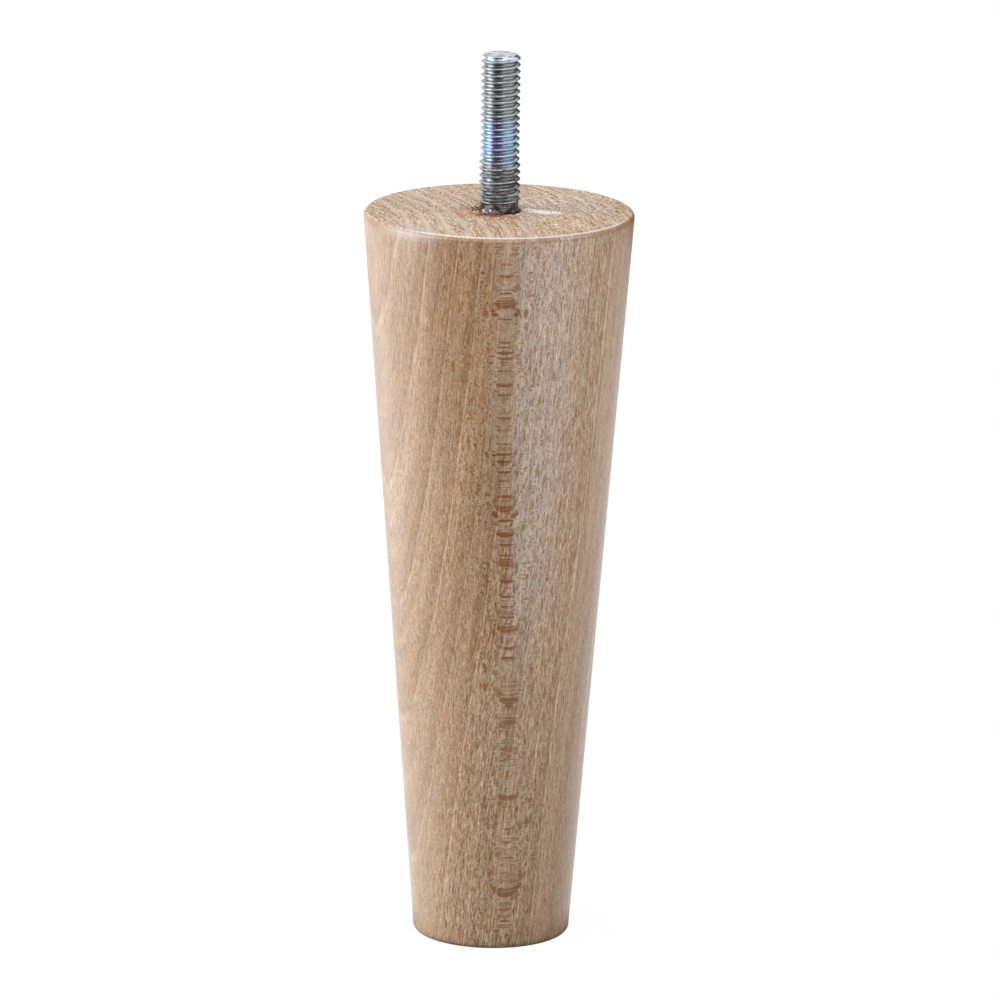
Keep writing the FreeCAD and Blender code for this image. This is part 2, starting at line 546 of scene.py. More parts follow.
PALE_WOOD = srgb(203, 162, 124)
DEEP_WOOD = srgb(188, 141, 98)
LATE_BROWN = srgb(156, 104, 58)
RING_LINE = srgb(230, 210, 186)
# Painted sheen: pale pinkish grey laid where the lacquer shines
PAINTED_SHEEN_WOOD = srgb(206, 192, 190)
RAY_BROWN = srgb(148, 90, 32)
PORE_BROWN = srgb(152, 95, 42)
GAP_PALE = srgb(223, 199, 170)
# Painted highlight on the front of the top's rounded edge
RIM_HIGHLIGHT_PALE = srgb(250, 246, 241)
# Painted highlight on the rim at the left, and the colour of a nick at the right
RIM_HIGHLIGHT_AND_NICK_GREY = srgb(226, 214, 210)
END_PALE = srgb(242, 234, 226)
# Painted glint on the top's end grain
END_PAINTED_GLINT = srgb(255, 252, 246)
END_RING = srgb(240, 227, 209)
END_MIDDLE = srgb(208, 174, 140)
END_BROWN = srgb(164, 108, 60)
STAIN_BROWN = srgb(110, 60, 28)
STAIN_ORANGE = srgb(186, 128, 80)
SMEAR_GREY = srgb(205, 198, 192)
CRACK_BROWN = srgb(112, 66, 30)
# Painted shade on the rounded top edge, below its painted highlight
RIM_SHADE_BROWN = srgb(164, 116, 78)
DEEPENING = (0.89, 0.85, 0.80, 1.0)
# Painted shade along the foot's edge, where it stands on the table
FOOT_PAINTED_SHADE = (0.66, 0.64, 0.62, 1.0)

# Fine cracks near the foot, at the front: middle across, middle height and half length in mm, lean
CRACKS = ((-3.10, 4.3, 1.6, -0.25), (-2.75, 0.9, 1.3, -0.58), (-8.4, 4.2, 1.0, 0.0))

# Scattered rays of three sizes, in mm, and the share of cells that hold one
LARGE_RAYS = {
    "Cell_Width": 1.00, "Cell_Height": 3.4, "Half_Width": 0.090, "Half_Height": 1.20, "Share": 0.6}
MEDIUM_RAYS = {
    "Cell_Width": 0.42, "Cell_Height": 1.45, "Half_Width": 0.072, "Half_Height": 0.64, "Share": 0.85}
FINE_RAYS = {
    "Cell_Width": 0.20, "Cell_Height": 0.72, "Half_Width": 0.036, "Half_Height": 0.28, "Share": 0.9}

# Broad rays on the strip: height, depth of the middle, half width and half height in mm, hollow
BROAD_RAYS = (
    (130.4, 0.0, 0.04, 0.4, 0), (127.1, 0.0, 0.03, 0.25, 0), (125.0, 0.01, 0.085, 0.95, 0),
    (123.4, 0.11, 0.055, 0.9, 0), (117.8, 0.0, 0.035, 0.25, 0), (116.9, 0.0, 0.035, 0.25, 0),
    (115.8, 0.0, 0.05, 0.3, 0), (114.8, 0.01, 0.05, 0.3, 0), (109.8, 0.01, 0.05, 0.4, 0),
    (107.8, 0.0, 0.04, 0.3, 0), (103.4, 0.0, 0.04, 0.4, 0), (96.5, 0.0, 0.05, 0.4, 0),
    (95.1, 0.0, 0.05, 0.35, 0), (93.5, 0.0, 0.045, 2.9, 1), (93.1, 0.0, 0.035, 0.3, 0),
    (88.4, 0.0, 0.04, 0.35, 0), (86.6, 0.0, 0.09, 1.8, 0.7), (86.0, 0.0, 0.06, 0.75, 0),
    (85.0, 0.09, 0.05, 0.85, 0), (83.8, 0.0, 0.04, 0.35, 0), (81.2, 0.01, 0.08, 0.6, 0),
    (79.1, 0.0, 0.045, 0.35, 0), (77.1, 0.0, 0.03, 0.2, 0), (75.1, 0.0, 0.045, 0.35, 0),
    (73.6, 0.0, 0.05, 2.4, 1), (72.1, 0.0, 0.045, 0.45, 0), (69.1, 0.0, 0.04, 0.3, 0),
    (67.1, 0.0, 0.04, 0.3, 0), (65.1, 0.0, 0.045, 0.3, 0), (62.8, 0.01, 0.1, 0.8, 0),
    (59.1, 0.0, 0.045, 0.4, 0), (57.2, 0.0, 0.04, 0.35, 0), (48.9, 0.01, 0.09, 0.7, 0),
    (44.4, 0.0, 0.035, 0.3, 0), (39.4, 0.01, 0.065, 0.5, 0), (30.0, 0.02, 0.09, 0.6, 0),
    (23.8, 0.0, 0.03, 0.25, 0), (22.0, 0.45, 0.06, 0.9, 0), (21.1, 0.0, 0.03, 0.25, 0),
    (11.1, 0.0, 0.28, 1.00, 0), (7.8, 0.0, 0.05, 0.35, 0),
)

RAY_SLOPE = 2.5
BOWL_SLOPE = 6.0
BOWL_HALF_WIDTH_MM = 0.2


# Wood: layers of the material

def place_in_wood(tree):
    """What the layers of the beech share: a point's place, its place in the grain, sides and ends."""
    place = put(tree, "TexCoord").outputs["Object"]
    grain = place_group(tree, grain_group(), Place=place)
    height = grain["Height"]
    top_end = step(tree, height, TOP_MM - 0.35, TOP_MM - 0.1)
    end = calc(tree, "MAXIMUM", top_end, step(tree, height, 0.3, 0.1))
    return SimpleNamespace(
        tree=tree, place=place, axes=put(tree, "SeparateXYZ", {0: place}).outputs,
        radius=grain["Ring Radius"], along=grain["Along Ring"], height=height,
        end=end, side=calc(tree, "SUBTRACT", 1.0, end))


def along_grain(wood, stretch, scale, detail=2.0, roughness=0.5):
    """Noise that is drawn out along the grain: the smaller the stretch, the longer."""
    place = vector(wood.tree, wood.radius, wood.along, product(wood.tree, wood.height, stretch))
    return cloud(wood.tree, place, scale, detail, roughness)


def growth_rings(wood):
    """Growth rings, a little uneven in width, that darken towards their outer edge; returns their colour."""
    tree = wood.tree
    bend = calc(tree, "SINE", scaled(tree, wood.radius, 0.17, -13.6))
    ring = calc(tree, "ADD", along_grain(wood, 0.12, 0.3), wood.radius)
    ring = scaled(tree, bend, -0.65, ring)
    wood.ring = scaled(tree, step(tree, wood.radius, 110.0, 117.5), -2.2, ring)
    wood.outermost = step(tree, wood.ring, 113.0, 114.0)
    rings_out = calc(tree, "DIVIDE", calc(tree, "SUBTRACT", wood.ring, RING_START_MM), RING_WIDTH_MM)
    wood.share = calc(tree, "FRACT", rings_out)
    late = band(tree, wood.share, (0.35, 0.95), (1.0, 0.94))
    row = band(tree, wood.share, (0.84, 0.93), (0.975, 0.945))
    row = product(tree, row, step(tree, along_grain(wood, 0.1, 1.6), 0.42, 0.58), 0.6)
    pore_row = band(tree, wood.share, (0.018, 0.034), (0.08, 0.05))
    pore_row = product(tree, pore_row, scaled(tree, wood.outermost, 0.6, 0.2))
    colour = blend(tree, late, PALE_WOOD, DEEP_WOOD)
    colour = blend(tree, row, colour, LATE_BROWN)
    return blend(tree, pore_row, colour, LATE_BROWN)


def ring_line(wood):
    """Pale line on the side at the outer edge of each ring, broken in places."""
    tree = wood.tree
    line = step(tree, calc(tree, "ABSOLUTE", calc(tree, "SUBTRACT", wood.share, 0.5)), 0.455, 0.485)
    patchy = step(tree, along_grain(wood, 0.2, 0.8, 3.0), 0.4, 0.62)
    patchy = calc(tree, "MAXIMUM", patchy, product(tree, wood.outermost, 0.3))
    patchy = scaled(tree, patchy, 0.8, 0.2)
    plain = scaled(tree, wood.outermost, 0.24, 0.42)
    return product(tree, line, patchy, step(tree, wood.ring, 118.5, 117.5), plain, wood.side)


def painted_sheen_zone(wood):
    """Painted sheen on the wood beside the strip that lies with its grain to the light, high on the front."""
    tree = wood.tree
    leaning = scaled(tree, wood.height, 0.09, wood.ring)
    inside = product(tree, step(tree, leaning, 111.2, 112.2), step(tree, wood.ring, 115.5, 109.0))
    front = step(tree, wood.axes[1], 6.0 * MM, -6.0 * MM)
    return product(tree, inside, step(tree, wood.height, 46.0, 76.0), wood.side, front, 0.7)


def broad_rays(wood):
    """Broad rays on the strip, joined."""
    group = single_ray_group()
    joined = None
    for height, depth, half_width, half_height, hollow in BROAD_RAYS:
        ray = place_group(
            wood.tree, group, Along_Ring=wood.along, Height=wood.height,
            Middle_Along=strip_along_ring(height) + depth, Middle_Height=height,
            Half_Width=half_width, Half_Height=half_height, Hollow=hollow,
            Slope=BOWL_SLOPE if half_width > BOWL_HALF_WIDTH_MM else RAY_SLOPE)["Ray"]
        joined = ray if joined is None else calc(wood.tree, "MAXIMUM", joined, ray)
    return joined


def add_rays(wood, colour):
    """Rays of all sizes on the side, and the paler wood round the smaller ones."""
    tree = wood.tree
    group = scattered_rays_group()
    large, medium, fine = (
        place_group(tree, group, Along_Ring=wood.along, Height=wood.height, **sizes)
        for sizes in (LARGE_RAYS, MEDIUM_RAYS, FINE_RAYS))
    stretched = (product(tree, wood.along, 1.4), product(tree, wood.height, 0.22))
    crowd = step(tree, cloud(tree, vector(tree, *stretched, wood.radius), 0.6), 0.36, 0.6)
    crowd = scaled(tree, crowd, 0.35, 0.65)
    lines = vector(tree, product(tree, wood.radius, 0.03), wood.along, wood.height)
    lines = step(tree, cloud(tree, lines, 4.5, 1.0), 0.32, 0.56)
    small = product(tree, calc(tree, "MAXIMUM", medium["Ray"], fine["Ray"]), crowd)
    scattered = product(tree, calc(tree, "MAXIMUM", large["Ray"], small), lines)
    broad = product(tree, broad_rays(wood), scaled(tree, lines, 0.5, 0.5))
    wood.rays = product(tree, calc(tree, "MAXIMUM", broad, scattered), wood.side)
    surround = calc(tree, "MAXIMUM", medium["Surround"], product(tree, fine["Surround"], 0.7))
    colour = blend(tree, product(tree, surround, crowd, wood.side, 0.55), colour, GAP_PALE)
    return blend(tree, product(tree, wood.rays, 0.95), colour, RAY_BROWN)


def add_fibres(wood, colour):
    """Fibres of the side: short dark dashes with pale gaps between them, and longer spindles."""
    tree = wood.tree
    wood.dash = along_grain(wood, 0.15, 3.4, 2.0, 0.65)
    coarse = scaled(tree, step(tree, wood.ring, 99.0, 103.0), 0.6, 0.5)
    smoother = scaled(tree, step(tree, wood.ring, 115.3, 115.9), -0.55, 1.0)
    share = product(tree, coarse, smoother, wood.side, 0.9)
    gaps = product(tree, step(tree, wood.dash, 0.49, 0.37), share)
    pores = product(tree, step(tree, wood.dash, 0.51, 0.63), share)
    spindles = product(tree, step(tree, along_grain(wood, 0.055, 2.3), 0.60, 0.68), wood.side, 0.6)
    colour = blend(tree, gaps, colour, GAP_PALE)
    colour = blend(tree, pores, colour, PORE_BROWN)
    return blend(tree, spindles, colour, PORE_BROWN)


def fibre_light(wood):
    """Lighter and darker grain: bands along the rings, long streaks, fibres and speckle."""
    tree = wood.tree
    stretched = (product(tree, wood.along, 0.08), product(tree, wood.height, 0.012))
    bands = cloud(tree, vector(tree, wood.radius, *stretched), 1.1, 4.0, 0.62)
    wood.streak = along_grain(wood, 0.016, 1.7, 3.0, 0.6)
    wood.fibre = along_grain(wood, 0.08, 2.6, 3.0, 0.6)
    light = calc(tree, "ADD", bands, -0.35)
    light = scaled(tree, wood.fibre, 0.3, light)
    light = scaled(tree, wood.streak, 0.4, light)
    light = calc(tree, "ADD", along_grain(wood, 0.45, 4.0, 1.0, 0.6), light)
    return put(tree, "CombineColor", {0: light, 1: light, 2: light}).outputs[0]


def end_rings(wood):
    """Pale ring lines on the ends, which fan out towards the front, and how plain they are at each place."""
    tree = wood.tree
    fan = calc(tree, "MAXIMUM", calc(tree, "SUBTRACT", END_FAN_START_MM, wood.along), 0.0)
    ring = calc(tree, "SUBTRACT", wood.radius, END_STRAIGHT_RING_MM)
    ring = calc(tree, "DIVIDE", ring, scaled(tree, fan, END_FAN_PER_MM, 1.0))
    waver = cloud(tree, vector(tree, wood.radius, wood.along, 0.0), 0.22)
    ring = scaled(tree, waver, 0.8, ring)
    rings_out = calc(tree, "DIVIDE", calc(tree, "ADD", ring, END_RING_SHIFT_MM), END_RING_WIDTH_MM)
    off_line = calc(tree, "SUBTRACT", calc(tree, "FRACT", rings_out), 0.5)
    line = step(tree, calc(tree, "ABSOLUTE", off_line), 0.28, 0.44)
    plain = scaled(tree, step(tree, ring, 9.5, 3.5), 0.75, 0.25)
    plain = product(tree, plain, step(tree, ring, -14.0, -13.0))
    return product(tree, line, plain), plain


def end_grain(wood):
    """End grain: brown pores and pale fibres, torn along the rings by the saw, smoother ring lines, and
    painted glint spots at the back right.
    """
    tree = wood.tree
    torn = vector(tree, wood.radius, product(tree, wood.along, 0.42), 0.0)
    drawn = vector(tree, wood.radius, product(tree, wood.along, 0.07), 0.0)
    torn = product(tree, cloud(tree, torn, 1.9, 4.0, 0.75), 0.64)
    wood.torn = scaled(tree, cloud(tree, drawn, 2.2, 2.0, 0.6), 0.36, torn)
    line, plain = end_rings(wood)
    fibres = product(tree, calc(tree, "SUBTRACT", wood.torn, 0.5), scaled(tree, plain, -0.35, 1.0))
    grit = put(tree, "VectorMath", {0: wood.place, 1: END_GRIT_PER_M}, operation="MULTIPLY").outputs[0]
    grit = product(tree, calc(tree, "SUBTRACT", cloud(tree, grit, 1.0, 2.0, 0.6), 0.5), plain)
    fibres = scaled(tree, grit, 0.42, fibres)
    fibres = scaled(tree, fibres, scaled(tree, line, -0.75, 1.0), 0.5)
    colour = blend(tree, step(tree, fibres, 0.42, 0.49), END_BROWN, END_MIDDLE)
    colour = blend(tree, step(tree, fibres, 0.51, 0.58), colour, END_PALE)
    colour = blend(tree, product(tree, line, 0.5), colour, END_RING)
    # painted highlights: small glint spots on the end grain at the back right
    painted_glints = step(tree, cloud(tree, wood.place, 1900.0, 2.0, 0.6), 0.55, 0.62)
    painted_glint_place = spot(tree, wood.place, (9.0, 7.0, 137.5), (19.0, 18.0, 3.0))
    return blend(tree, product(tree, painted_glints, painted_glint_place), colour, END_PAINTED_GLINT)


def add_strip_sheen_and_tone(wood, colour):
    """Painted sheen, greyer between the rays of the strip near its top; sets where the strip's tone is
    deeper.
    """
    tree, axes, height = wood.tree, wood.axes, wood.height
    off_strip = scaled(tree, axes[2], STRIP_LEAN, calc(tree, "SUBTRACT", axes[0], STRIP_FOOT_X))
    on_strip = step(tree, calc(tree, "ABSOLUTE", off_strip), 3.4 * MM, 1.2 * MM)
    on_strip = product(tree, on_strip, step(tree, axes[1], 0.0, -8.0 * MM))
    midway = band(tree, height, (36.0, 60.0), (105.0, 85.0))
    wood.deep_strip = product(tree, on_strip, scaled(tree, midway, 0.6, 0.1))
    between_rays = calc(tree, "SUBTRACT", 1.0, wood.rays)
    # painted sheen: greyer between the rays on the strip, near its top
    painted_sheen_grey = product(tree, on_strip, wood.side, step(tree, height, 80.0, 100.0), between_rays, 0.16)
    return blend(tree, painted_sheen_grey, colour, PAINTED_SHEEN_WOOD)


def add_tones(wood, colour):
    """Deeper wood on the strip and in the late rings near the top, darker low at the foot, painted shade
    along the foot's edge, and a painted sheen, paler low on the left.
    """
    tree, height, ring = wood.tree, wood.height, wood.ring
    upper = band(tree, ring, (77.0, 82.0), (97.0, 93.0))
    upper = product(tree, upper, step(tree, height, 88.0, 128.0))
    lower = product(tree, step(tree, height, 40.0, 8.0), step(tree, ring, 93.0, 99.0), 0.35)
    deeper = calc(tree, "MAXIMUM", calc(tree, "MAXIMUM", wood.deep_strip, upper), lower)
    left = step(tree, wood.axes[0], -8.0 * MM, -12.5 * MM)
    # painted sheen: the side is laid paler low on the left
    paler = product(tree, step(tree, height, 62.0, 18.0), left, wood.side, 0.32)
    # painted shade: darker along the foot's edge
    colour = blend(tree, step(tree, height, 1.7, 0.4), colour, FOOT_PAINTED_SHADE, "MULTIPLY")
    colour = blend(tree, product(tree, deeper, wood.side), colour, DEEPENING, "MULTIPLY")
    return blend(tree, paler, colour, GAP_PALE)


def add_cracks(wood, colour):
    """Fine cracks up the front of the side, near the foot."""
    tree, axes = wood.tree, wood.axes
    front = step(tree, axes[1], 0.0, -6.0 * MM)
    for middle, height, half_length, lean in CRACKS:
        up = calc(tree, "SUBTRACT", axes[2], height * MM)
        aside = calc(tree, "SUBTRACT", axes[0], scaled(tree, up, lean, middle * MM))
        thin = step(tree, calc(tree, "ABSOLUTE", aside), 0.22 * MM, 0.07 * MM)
        short = step(tree, calc(tree, "ABSOLUTE", up), half_length * MM, 0.7 * half_length * MM)
        colour = blend(tree, product(tree, thin, short, front, 0.75), colour, CRACK_BROWN)
    return colour


def add_rim_highlight_and_shade(wood, colour):
    """Painted highlight, a pale line on the rounded top edge at the front, with a band of painted shade below
    it.
    """
    tree, axes, height = wood.tree, wood.axes, wood.height
    # painted shade: a darker band on the rounded edge below the line
    painted_rim_shade = band(tree, height, (TOP_MM - 1.5, TOP_MM - 0.8), (TOP_MM - 0.18, TOP_MM - 0.32))
    painted_rim_shade = product(tree, painted_rim_shade, step(tree, wood.fibre, 0.75, 0.2))
    # painted highlight: the pale line on the upper part of the rounded edge, at the front
    painted_rim_highlight = band(tree, height, (TOP_MM - 0.24, TOP_MM - 0.12), (TOP_MM - 0.005, TOP_MM - 0.04))
    front = step(tree, axes[1], -2.0 * MM, -13.0 * MM)
    past_left_highlight = step(tree, axes[0], -17.5 * MM, -12.5 * MM)
    painted_rim_highlight = product(tree, painted_rim_highlight, front, past_left_highlight, scaled(tree, wood.fibre, 0.5, 0.65))
    colour = blend(tree, painted_rim_shade, colour, RIM_SHADE_BROWN)
    return blend(tree, painted_rim_highlight, colour, RIM_HIGHLIGHT_PALE)


def add_rim_highlight_and_nick(wood, colour):
    """Painted highlight along the rim at the left, and a nick in the rim at the right."""
    tree = wood.tree
    # painted highlight: a pale patch on the rounded rim at the left
    highlight_and_nick = spot(tree, wood.place, (-17.0, -17.8, 136.8), (12.0, 12.0, 1.7))
    fibrous = scaled(tree, step(tree, wood.dash, 0.7, 0.35), 0.5, 0.5)
    nick = spot(tree, wood.place, (12.0, -21.2, 137.2), (4.5, 2.5, 0.8))
    nick = product(tree, nick, step(tree, wood.streak, 0.45, 0.55))
    highlight_and_nick = calc(tree, "MAXIMUM", product(tree, highlight_and_nick, fibrous), nick)
    return blend(tree, product(tree, highlight_and_nick, 0.5), colour, RIM_HIGHLIGHT_AND_NICK_GREY)


def add_hole_stain(wood, colour):
    """Stain round the bolt's hole, most of it at the left and the front, and a grey smear in front of it."""
    tree, axes = wood.tree, wood.axes
    reach = length(tree, vector(tree, axes[0], axes[1], 0.0))
    blotch = cloud(tree, wood.place, 420.0, 3.0, 0.6)
    ragged = scaled(tree, blotch, -6.0 * MM, scaled(tree, axes[0], 0.18, reach))
    ragged = scaled(tree, axes[1], 0.18, ragged)
    orange = product(tree, step(tree, ragged, 4.6 * MM, 3.0 * MM), step(tree, blotch, 0.42, 0.56))
    orange = product(tree, orange, wood.end, step(tree, wood.torn, 0.56, 0.44))
    front = spot(tree, wood.place, (0.5, -6.5, 137.5), (4.5, 7.0, 1.0))
    front = product(tree, front, step(tree, wood.torn, 0.58, 0.42), 0.9)
    stain = product(tree, step(tree, ragged, 2.0 * MM, 0.6 * MM), 0.8)
    smear = spot(tree, wood.place, (6.5, -8.0, 137.5), (3.0, 3.4, 1.0))
    smear = product(tree, smear, step(tree, wood.torn, 0.4, 0.6), 0.7)
    colour = blend(tree, orange, colour, STAIN_ORANGE)
    colour = blend(tree, front, colour, STAIN_ORANGE)
    colour = blend(tree, stain, colour, STAIN_BROWN)
    return blend(tree, smear, colour, SMEAR_GREY)


def beech_material():
    """Pale beech under satin lacquer, grained through and through."""
    material, tree, shader = new_material("satin_lacquered_beech")
    wood = place_in_wood(tree)
    colour = growth_rings(wood)
    # painted sheen beside the strip, high on the front
    colour = blend(tree, painted_sheen_zone(wood), colour, PAINTED_SHEEN_WOOD)
    light = fibre_light(wood)
    colour = add_rays(wood, add_fibres(wood, colour))
    colour = blend(tree, wood.end, colour, end_grain(wood))
    # painted sheen on the strip; tones, painted shade at the foot's edge and a painted sheen low on the left
    colour = add_tones(wood, add_strip_sheen_and_tone(wood, colour))
    colour = blend(tree, ring_line(wood), colour, RING_LINE)
    colour = blend(tree, 1.0, colour, light, "MULTIPLY")
    # painted highlight and painted shade on the rim; fine cracks near the foot
    colour = add_rim_highlight_and_shade(wood, add_cracks(wood, colour))
    # painted highlight at the left of the rim, a nick, and the stain round the bolt's hole
    colour = add_hole_stain(wood, add_rim_highlight_and_nick(wood, colour))
    tree.links.new(colour, shader.inputs["Base Color"])
    rough = scaled(tree, wood.end, 0.15, scaled(tree, wood.fibre, 0.16, 0.34))
    tree.links.new(rough, shader.inputs["Roughness"])
    tree.links.new(product(tree, wood.side, 0.8), shader.inputs["Coat Weight"])
    shader.inputs["Coat Roughness"].default_value = 0.32
    shader.inputs["Specular IOR Level"].default_value = 0.3
    relief = scaled(tree, product(tree, wood.torn, wood.end), 6.0, wood.dash)
    raise_skin(tree, shader, relief, 0.35, 0.03 * MM)
    return material


# Zinc

ZINC_BRIGHT = srgb(196, 200, 202)
ZINC_DULL = srgb(146, 150, 154)
ZINC_END = srgb(214, 220, 228)
ZINC_DARK = srgb(52, 50, 52)
ZINC_BLUE = srgb(176, 206, 230)
ZINC_VIOLET = srgb(168, 160, 208)
# Dirt and painted shade on the collar where the bolt goes into the wood
COLLAR_DIRT_AND_SHADE = srgb(72, 63, 62)


def place_on_bolt(tree):
    """What the layers of the zinc share: the point's place, its unevenness and the zones up the bolt."""
    place = put(tree, "TexCoord").outputs["Object"]
    axes = put(tree, "SeparateXYZ", {0: place}).outputs
    around = put(tree, "VectorMath", {0: place, 1: (0.35, 0.35, 2.3)}, operation="MULTIPLY").outputs[0]
    up = axes[2]
    film_low = (LEG_HEIGHT + 8.5 * MM, LEG_HEIGHT + 11.0 * MM)
    film_high = (LEG_HEIGHT + 19.0 * MM, LEG_HEIGHT + 15.0 * MM)
    return SimpleNamespace(
        tree=tree, axes=axes,
        mottle=cloud(tree, place, 900.0, 4.0, 0.6),
        drawn=cloud(tree, around, 1500.0, 3.0, 0.7),
        reach=length(tree, vector(tree, axes[0], axes[1], 0.0)),
        below_end=step(tree, up, BOLT_END - 0.3 * MM, BOLT_END - 0.9 * MM),
        above_shank=step(tree, up, SHANK_TOP, SHANK_TOP + 0.8 * MM),
        dull=step(tree, up, STUD_FOOT_TOP + 0.8 * MM, STUD_FOOT_TOP - 1.5 * MM),
        collar=step(tree, up, SHANK_TOP + 0.5 * MM, SHANK_TOP - 0.2 * MM),
        film=band(tree, up, film_low, film_high))


def plating_colour(bolt):
    """Zinc, mottled, with a film of blue and violet on the middle turns."""
    tree = bolt.tree
    off_front = calc(tree, "ABSOLUTE", calc(tree, "ADD", bolt.axes[0], 0.3 * MM))
    violet = step(tree, off_front, 1.9 * MM, 0.8 * MM)
    violet = product(tree, violet, step(tree, bolt.mottle, 0.35, 0.55))
    hue = blend(tree, violet, ZINC_BLUE, ZINC_VIOLET)
    colour = blend(tree, bolt.mottle, ZINC_BRIGHT, ZINC_DULL)
    return blend(tree, product(tree, bolt.film, 0.8), colour, hue)


def add_bolt_dirt_and_shade(bolt, colour):
    """Dirt drawn round the turns, painted shade in the grooves, and dirt with painted shade, brown, on the
    collar above the wood.
    """
    tree = bolt.tree
    dirty = scaled(tree, calc(tree, "MAXIMUM", bolt.dull, bolt.collar), 0.5, 0.25)
    dirt = product(tree, step(tree, bolt.drawn, 0.45, 0.58), dirty, bolt.below_end)
    # painted shade: the thread's grooves darkened all the way up the stud
    sunk = step(tree, bolt.reach, STUD_RADIUS - 0.2 * MM, STUD_RADIUS - STUD_THREAD_DEPTH)
    groove = product(tree, sunk, bolt.below_end, bolt.above_shank)
    groove = product(tree, groove, scaled(tree, bolt.dull, 0.10, 0.35))
    # dirt and painted shade: the collar in the hole's mouth darkened, mottled
    brown = product(tree, bolt.collar, step(tree, bolt.mottle, 0.62, 0.42))
    colour = blend(tree, dirt, colour, ZINC_DARK)
    colour = blend(tree, groove, colour, ZINC_DARK)
    return blend(tree, brown, colour, COLLAR_DIRT_AND_SHADE)


def zinc_material():
    """Zinc plating: bright on the crests, with painted shade in the grooves, dirty at the foot with painted
    shade on the collar, paler on the stud's end.
    """
    material, tree, shader = new_material("zinc_plating")
    bolt = place_on_bolt(tree)
    colour = add_bolt_dirt_and_shade(bolt, plating_colour(bolt))
    end_face = blend(tree, step(tree, bolt.mottle, 0.45, 0.6), ZINC_END, ZINC_DULL)
    colour = blend(tree, bolt.below_end, end_face, colour)
    tree.links.new(colour, shader.inputs["Base Color"])
    shader.inputs["Metallic"].default_value = 1.0
    rough = scaled(tree, bolt.dull, 0.03, scaled(tree, bolt.mottle, 0.25, 0.18))
    tree.links.new(rough, shader.inputs["Roughness"])
    raise_skin(tree, shader, scaled(tree, bolt.drawn, 0.6, bolt.mottle), 0.35, 0.06 * MM)
    return material


# Glue and torn fibres

STREAK_WHITE = srgb(254, 254, 254)
STREAK_GREY = srgb(222, 208, 196)
BEAD_BROWN = srgb(104, 84, 72)
# Painted glints on the glue bead
BEAD_PAINTED_GLINT = srgb(226, 228, 236)
TORN_ORANGE = srgb(174, 116, 74)
TORN_DARK = srgb(78, 44, 26)
TORN_PALE = srgb(236, 212, 202)


def glue_group():
    """Hardened glue: its cloudiness, and the patches that this makes."""
    tree, given, out = new_group("hardened_glue", ["Place"], ["Cloudy", "Patches"])
    cloudy = cloud(tree, given["Place"], 1500.0, 3.0, 0.6)
    tree.links.new(cloudy, out["Cloudy"])
    tree.links.new(step(tree, cloudy, 0.5, 0.62), out["Patches"])
    return tree


def glue_material(name, group, colour, patch_colour, roughness):
    """Hardened glue, glossy, with patches of a second colour."""
    material, tree, shader = new_material(name)
    glue = place_group(tree, group, Place=put(tree, "TexCoord").outputs["Object"])
    tree.links.new(blend(tree, glue["Patches"], colour, patch_colour), shader.inputs["Base Color"])
    tree.links.new(scaled(tree, glue["Cloudy"], 0.2, roughness), shader.inputs["Roughness"])
    raise_skin(tree, shader, glue["Cloudy"], 0.6, 0.12 * MM)
    return material


def torn_material():
    """Torn beech fibres with dark gaps and pale crumbs of glue."""
    material, tree, shader = new_material("torn_beech_fibres")
    crumbs = cloud(tree, put(tree, "TexCoord").outputs["Object"], 1700.0, 2.0, 0.6)
    colour = blend(tree, step(tree, crumbs, 0.48, 0.42), TORN_ORANGE, TORN_DARK)
    colour = blend(tree, step(tree, crumbs, 0.54, 0.60), colour, TORN_PALE)
    tree.links.new(colour, shader.inputs["Base Color"])
    tree.links.new(scaled(tree, crumbs, 0.5, 0.25), shader.inputs["Roughness"])
    raise_skin(tree, shader, crumbs, 0.6, 0.2 * MM)
    return material


# Stage

TABLE_HALF_WIDTH = 0.17
TABLE_FRONT, TABLE_BACK = -0.13, 1.3
TABLE_DROP = 0.02 * MM
CEILING_HEIGHT = 0.80
COOL_WHITE = (0.90, 0.95, 1.0)
ROOM_LIGHT = 0.32


def white_when_seen(tree, shade, share, mirrored):
    """Shows plain white to the camera and, by its own share, in reflections, over the surface's own shade."""
    path = put(tree, "LightPath").outputs
    bounced = calc(tree, "MAXIMUM", path["Is Glossy Ray"], path["Is Transmission Ray"])
    seen = product(tree, path["Is Camera Ray"], share)
    seen = calc(tree, "MAXIMUM", seen, product(tree, bounced, mirrored))
    white = put(tree, "Emission", {"Color": (1, 1, 1, 1), "Strength": 1.0}).outputs[0]
    return put(tree, "MixShader", {0: seen, 1: shade, 2: white}).outputs[0]


def floor_material():
    """White that keeps a trace of the leg's shadow, and that the foot of the leg mirrors less."""
    material, tree, _ = new_material("white_floor")
    shade = put(tree, "BsdfDiffuse", {"Color": (0.42, 0.42, 0.42, 1)}).outputs[0]
    away = length(tree, put(tree, "TexCoord").outputs["Object"])
    share = scaled(tree, step(tree, away, 0.02, 0.045), 0.02, 0.98)
    surface = white_when_seen(tree, shade, share, step(tree, away, 0.0145, 0.026))
    tree.links.new(surface, tree.nodes["Material Output"].inputs["Surface"])
    return material


def stage_sheet(name, points, faces, material):
    """Sheet of the stage, which is no piece of the leg."""
    mesh = bpy.data.meshes.new(name)
    mesh.from_pydata(points, [], faces)
    mesh.materials.append(material)
    sheet = bpy.data.objects.new(name, mesh)
    bpy.context.collection.objects.link(sheet)
    return sheet


